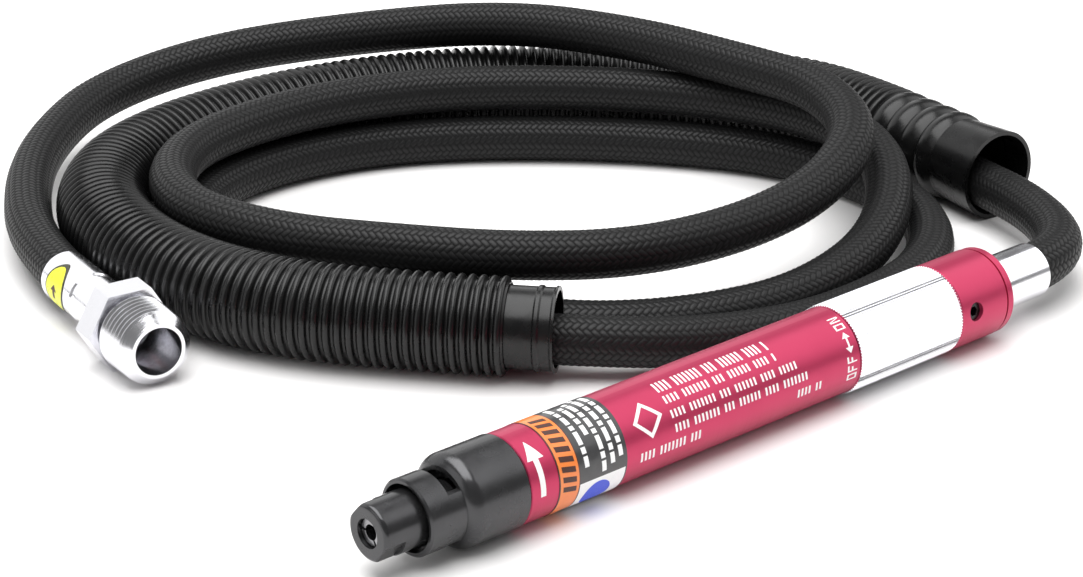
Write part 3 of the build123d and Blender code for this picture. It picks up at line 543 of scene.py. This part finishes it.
def make_overhose(material):
    line = smooth_line("exhaust_hose_line", OVERHOSE_PATH)
    length = line_length(line)
    ribs = round(length / RIB_PITCH)
    pitch = length / ribs
    around = 56
    grid = np.linspace(0, length, 1200)
    grid_stations = stations(line, grid)
    profile = []
    for rib in range(ribs):
        profile += [((rib + share) * pitch, OVERHOSE_RADIUS - depth) for share, depth in rib_profile()]
    profile += [(length * step / ribs, OVERHOSE_BORE) for step in range(ribs, -1, -1)]
    distances, radius = np.array(profile).T
    placed = [
        np.stack([np.interp(distances, grid, values[:, k]) for k in range(3)], axis=1)
        for values in grid_stations
    ]
    turn = np.arange(around) * 2 * np.pi / around
    rings = rings_round(*placed, turn, radius[:, None])
    index = np.arange(len(profile) * around).reshape(-1, around)
    closed = np.concatenate([index, index[:1]])
    mesh = smooth_mesh("exhaust_hose_ribs", rings, quads_between(closed).tolist())
    return add_piece("exhaust_hose_ribs", mesh, material), line, length


hose_black = hose_plastic()
air_hose, air_line, air_length = make_air_hose(braid_cover())
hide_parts("air_hose")
overhose, over_line, over_length = make_overhose(hose_black)
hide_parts("exhaust_overhose")


# ---- prints --------------------------------------------------------------------------
# Rows that stand for lines of print: (front, rear) in mm from the nut's face, (low, high) in degrees.
BODY_ROWS = [
    (70.3, 102, 101, 117),
    (70.3, 102, 123.5, 134),
    (70.3, 106, 142.8, 152.5),
    (70.5, 108.3, 160.5, 170.5),
    (61, 77.8, 180, 192),
    (104.9, 112, 180, 191),
]
# Rows round the label: middle in mm from the nut's face, (low, high) in degrees.
LABEL_ROWS = [(46.8, 70, 169), (49.1, 79, 133), (51.1, 70, 182), (53.4, 57, 176), (55.6, 71, 171)]
LABEL_ROW_HEIGHT = 1.1


def film(name, outlines, material, radius, base=TOOL_AXIS):
    """Thin film wrapped on a cylinder, from outlines of (distance in mm, angle in degrees)."""
    origin, along, up = base
    side = up.cross(along)
    shape = bmesh.new()
    for outline in outlines:
        corners = [shape.verts.new((place * MM, math.radians(angle) * radius, 0)) for place, angle in outline]
        shape.faces.new(corners)
    bmesh.ops.triangulate(shape, faces=shape.faces[:])
    cut = min(vertex.co.y for vertex in shape.verts) + FILM_STEP
    last = max(vertex.co.y for vertex in shape.verts)
    while cut < last:
        everything = shape.verts[:] + shape.edges[:] + shape.faces[:]
        bmesh.ops.bisect_plane(shape, geom=everything, plane_co=(0, cut, 0), plane_no=(0, 1, 0))
        cut += FILM_STEP
    raised = bmesh.ops.extrude_face_region(shape, geom=shape.faces[:], use_keep_orig=True)["geom"]
    for item in raised:
        if isinstance(item, bmesh.types.BMVert):
            item.co.z = FILM
    for vertex in shape.verts:
        place, arc, height = vertex.co
        turn = arc / radius
        outward = side * math.cos(turn) + up * math.sin(turn)
        vertex.co = origin + along * place + outward * (radius + height)
    bmesh.ops.recalc_face_normals(shape, faces=shape.faces[:])
    mesh = bpy.data.meshes.new(name)
    shape.to_mesh(mesh)
    shape.free()
    piece = add_piece(name, mesh, material)
    return piece


def bar(front, rear, low, high):
    return [(front, low), (rear, low), (rear, high), (front, high)]


def disc(place, angle, size, count=28):
    """Round outline of a radius in mm, on the tool."""
    degrees = math.degrees(size * MM / HOUSING_RADIUS)
    turns = [2 * math.pi * k / count for k in range(count)]
    return [(place + size * math.cos(turn), angle + degrees * math.sin(turn)) for turn in turns]


def diamond(place, angle, size, width):
    """Frame of a diamond, one outline for each of its four sides."""
    outer = disc(place, angle, size, count=4)
    inner = disc(place, angle, size - width, count=4)
    return [[outer[k - 1], outer[k], inner[k], inner[k - 1]] for k in range(4)]


def rotation_arrow():
    """Arrow round the housing that shows which way the spindle turns."""
    head = [(35.3, 112), (33.5, 138), (37.5, 138)]
    shaft = bar(34.8, 36.1, 138, 184)
    return [head, shaft]


def word_row(front, rear, low, high):
    """Row of upright strokes in word-like groups, in place of a line of printed text."""
    stroke = 0.5
    pitch = 1.05
    group_sizes = (4, 7, 3, 6)
    outlines = []
    place = front
    group = 0
    while place < rear:
        for _ in range(group_sizes[group % len(group_sizes)]):
            if place + stroke <= rear:
                outlines.append(bar(place, place + stroke, low, high))
            place += pitch
        place += pitch
        group += 1
    return outlines


def label_row(front, rear, low, high):
    """Row of short dashes round the label, in place of a line of printed text."""
    dash_degrees = (13, 8, 17, 6)
    gap_degrees = 3
    outlines = []
    angle = high
    dash = 0
    while angle > low:
        end = max(low, angle - dash_degrees[dash % len(dash_degrees)])
        outlines.append(bar(front, rear, end, angle))
        angle = end - gap_degrees
        dash += 1
    return outlines


def slanted_blocks(front, rear, low, high, count):
    """Row of slanted blocks, in place of a word round the orange band."""
    pitch = (high - low) / count
    slant = 0.35 * pitch
    outlines = []
    for block in range(count):
        start = low + block * pitch
        end = start + 0.55 * pitch
        outlines.append([(front, start), (front, end), (rear, end + slant), (rear, start + slant)])
    return outlines


def letter_outlines(letter, top, bottom, start, width):
    """Plain block letter that reads towards smaller angles, with its top towards the nose."""
    # Strokes as (left, right, upper, lower), in shares of the letter's width and height.
    upright = (0, 0.2, 0, 1)
    far_upright = (0.8, 1, 0, 1)
    strokes = {
        "O": [upright, far_upright, (0.2, 0.8, 0, 0.17), (0.2, 0.8, 0.83, 1)],
        "F": [upright, (0.2, 1, 0, 0.17), (0.2, 0.8, 0.42, 0.59)],
        "N": [upright, far_upright],
    }[letter]
    shapes = [[(left, up), (right, up), (right, low), (left, low)] for left, right, up, low in strokes]
    if letter == "N":
        shapes.append([(0.2, 0), (0.32, 0), (0.8, 1), (0.68, 1)])
    height = bottom - top
    return [[(top + height * down, start - width * across) for across, down in shape] for shape in shapes]


def throttle_marks():
    """OFF and ON in plain block letters, with an arrow towards each."""
    top = 119.6
    bottom = 122.4
    width = 8.5
    pitch = 11.8
    outlines = []
    for k, letter in enumerate("OFF"):
        outlines += letter_outlines(letter, top, bottom, 196 - k * pitch, width)
    for k, letter in enumerate("ON"):
        outlines += letter_outlines(letter, top, bottom, 128 - k * pitch, width)
    middle = (top + bottom) / 2
    outlines.append([(middle, 160), (top + 0.3, 152), (bottom - 0.3, 152)])
    outlines.append([(middle, 132), (top + 0.3, 140), (bottom - 0.3, 140)])
    outlines.append(bar(middle - 0.25, middle + 0.25, 140, 152))
    return outlines


def make_prints():
    white = ink("white_ink", (0.84, 0.84, 0.84))
    brown = ink("brown_ink", (0.055, 0.016, 0.01))
    blue = ink("blue_ink", (0.05, 0.09, 0.62))
    film("print_rotation_arrow", rotation_arrow(), white, HOUSING_RADIUS)
    film("print_diamond_mark", diamond(64.3, 143, 3.9, 1.1), white, HOUSING_RADIUS)
    body_rows = []
    for front, rear, low, high in BODY_ROWS:
        body_rows += word_row(front, rear, low, high)
    film("print_body_rows", body_rows, white, HOUSING_RADIUS)
    film("print_throttle_marks", throttle_marks(), white, HOUSING_RADIUS)
    label_rows = []
    for middle, low, high in LABEL_ROWS:
        label_rows += label_row(middle - LABEL_ROW_HEIGHT / 2, middle + LABEL_ROW_HEIGHT / 2, low, high)
    film("print_label_rows", label_rows, white, LABEL_RADIUS)
    panel = bar(BAND_REAR, LABEL_REAR, 188, 250)
    film("print_label_panel", [panel], white, LABEL_RADIUS)
    film("print_label_blocks", slanted_blocks(40.5, 43.9, 83, 195, 9), brown, LABEL_RADIUS)
    film("print_label_disc", [disc(50.1, 215, 3.6)], blue, LABEL_RADIUS + FILM)
    arrow_half_width = (0.5, 1.4)  # of its shaft and its head
    arrow = [
        (TAG_PLACE - arrow_half_width[1], 176),
        (TAG_PLACE, 162),
        (TAG_PLACE + arrow_half_width[1], 176),
        (TAG_PLACE + arrow_half_width[0], 176),
        (TAG_PLACE + arrow_half_width[0], 192),
        (TAG_PLACE - arrow_half_width[0], 192),
        (TAG_PLACE - arrow_half_width[0], 176),
    ]
    film("print_tag_arrow", [arrow], brown, TAG_RADIUS, FITTING_AXIS)


make_prints()


# ---- finishes on the CAD's pieces -------------------------------------------------------
def finish_nodes():
    red = red_anodised()
    bright = bright_plate()
    fitting = machined_steel("plated_fitting", 0.86, 0.2, FITTING_TURNED)
    felt = dull("felt", (0.5, 0.49, 0.46), 0.85)
    finishes = {
        "nose_cap": satin_black("satin_black", 0.065),
        "collet_nut": satin_black("satin_black_nut", 0.065),
        "collet_body": machined_steel("spindle_steel", 0.12, 0.35),
        "collet": machined_steel("collet_steel", 0.3, 0.3),
        "motor_housing": red,
        "rear_cap": red,
        "wrap_label": label_film(),
        "throttle_ring": bright,
        "hose_ferrule": bright,
        "inlet_ferrule": bright,
        "inlet_fitting": fitting,
        "cap_set_screw": satin_black("screw_black", 0.03),
        "flow_tag": tag_film(),
        "overhose_tool_cuff": hose_black,
        "overhose_outlet_cuff": hose_black,
        "front_dust_washer": felt,
        "muffler_ring": felt,
        "valve_o_rings": dull("rubber", (0.02, 0.02, 0.02), 0.6),
        "rotor_blades": dull("blade_resin", (0.3, 0.17, 0.08), 0.5),
    }
    inner_steel = machined_steel("inner_steel", 0.6, 0.35)
    for name, node in nodes.items():
        node.data.materials.clear()
        node.data.materials.append(finishes.get(name, inner_steel))


finish_nodes()


# ---- floor and lights ---------------------------------------------------------------
def make_floor():
    half = 4.0
    corners = [(-half, -half, 0), (half, -half, 0), (half, half, 0), (-half, half, 0)]
    mesh = bpy.data.meshes.new("floor")
    mesh.from_pydata(corners, [], [(0, 1, 2, 3)])
    floor = bpy.data.objects.new("floor", mesh)
    bpy.context.scene.collection.objects.link(floor)
    s = Shader("floor_white")
    s.set("Base Color", rgb(0.9, 0.89, 0.885))
    s.set("Roughness", 0.9)
    mesh.materials.append(s.material)


def make_light(name, place, target, size, power):
    light = bpy.data.lights.new(name, "AREA")
    light.shape = "RECTANGLE"
    light.size, light.size_y = size
    light.energy = power
    holder = bpy.data.objects.new(name, light)
    holder.location = place
    heading = Vector(target) - Vector(place)
    holder.rotation_euler = heading.to_track_quat("-Z", "Y").to_euler()
    bpy.context.scene.collection.objects.link(holder)


def make_world():
    world = bpy.data.worlds.new("studio")
    world.use_nodes = True
    background = world.node_tree.nodes["Background"]
    background.inputs["Color"].default_value = rgb(1, 1, 1)
    background.inputs["Strength"].default_value = 0.2
    bpy.context.scene.world = world


make_floor()
make_world()
middle = (0.02, 0.07, 0.0)
make_light("key", (-0.1, 0.12, 1.05), middle, (1.4, 1.0), 20)
make_light("right_card", (1.0, -0.25, 0.75), middle, (1.5, 1.1), 8)
make_light("back_card", (0.1, 1.5, 0.6), middle, (2.8, 1.1), 10)
make_light("left_card", (-1.2, 0.3, 0.6), middle, (1.0, 0.9), 3)
bpy.context.scene.view_settings.view_transform = "Standard"
